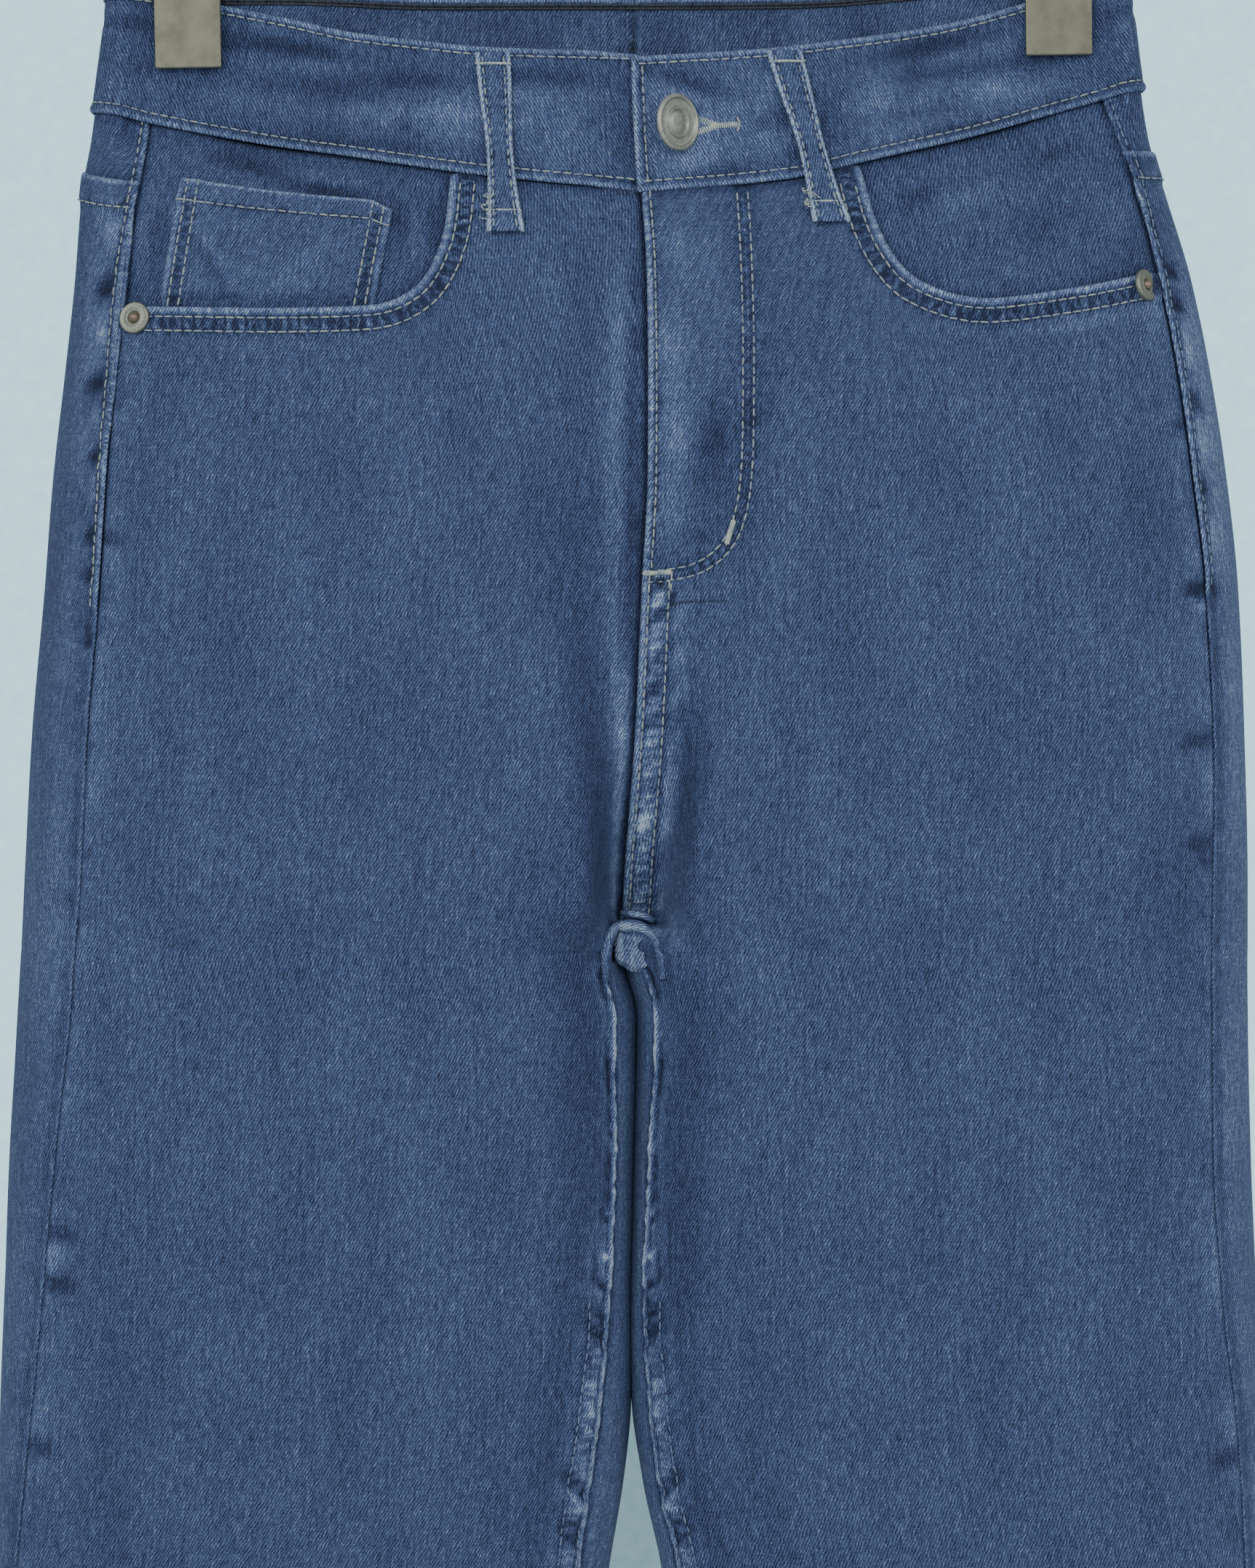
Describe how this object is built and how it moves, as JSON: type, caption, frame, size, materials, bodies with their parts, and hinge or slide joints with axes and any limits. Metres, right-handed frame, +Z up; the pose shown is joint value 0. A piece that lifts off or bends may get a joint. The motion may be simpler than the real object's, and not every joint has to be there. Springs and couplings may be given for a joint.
{
  "type": "flared jeans on a clip hanger",
  "caption": "Flared five-pocket denim jeans held at the waistband by the clips of a metal trouser hanger.",
  "frame": {"origin": "the top of the hook's inside, where the hanger rests on a rail", "axes": "+Z up along the hanging garment, the front faces -Y, and the wearer's left is at +X"},
  "size_m": [0.5188, 0.0918, 1.2206],
  "materials": {
    "denim": "medium blue twill weave with pale topstitching",
    "button_metal": "satin pewter-toned metal",
    "clip_metal": "satin champagne-toned plate",
    "hanger_steel": "bright wire and bar"
  },
  "bodies": {
    "root": {"waistband": "denim", "front_panel_right": "denim", "front_panel_left": "denim", "back_panel_right": "denim", "back_panel_left": "denim", "yoke_right": "denim", "yoke_left": "denim", "pocket_facing_right": "denim", "pocket_facing_left": "denim", "coin_pocket": "denim", "back_pocket_right": "denim", "back_pocket_left": "denim", "belt_loop_front_right": "denim", "belt_loop_front_left": "denim", "belt_loop_back_right": "denim", "belt_loop_back_left": "denim", "belt_loop_back_centre": "denim", "button": "button_metal", "rivet_right": "button_metal", "rivet_left": "button_metal", "hanger_hook": "hanger_steel", "hanger_bar": "hanger_steel", "clip_right_front_jaw": "clip_metal", "clip_right_back_jaw": "clip_metal", "clip_right_pin": "hanger_steel", "clip_right_strap": "hanger_steel", "clip_left_front_jaw": "clip_metal", "clip_left_back_jaw": "clip_metal", "clip_left_pin": "hanger_steel", "clip_left_strap": "hanger_steel"}
  },
  "joints": []
}
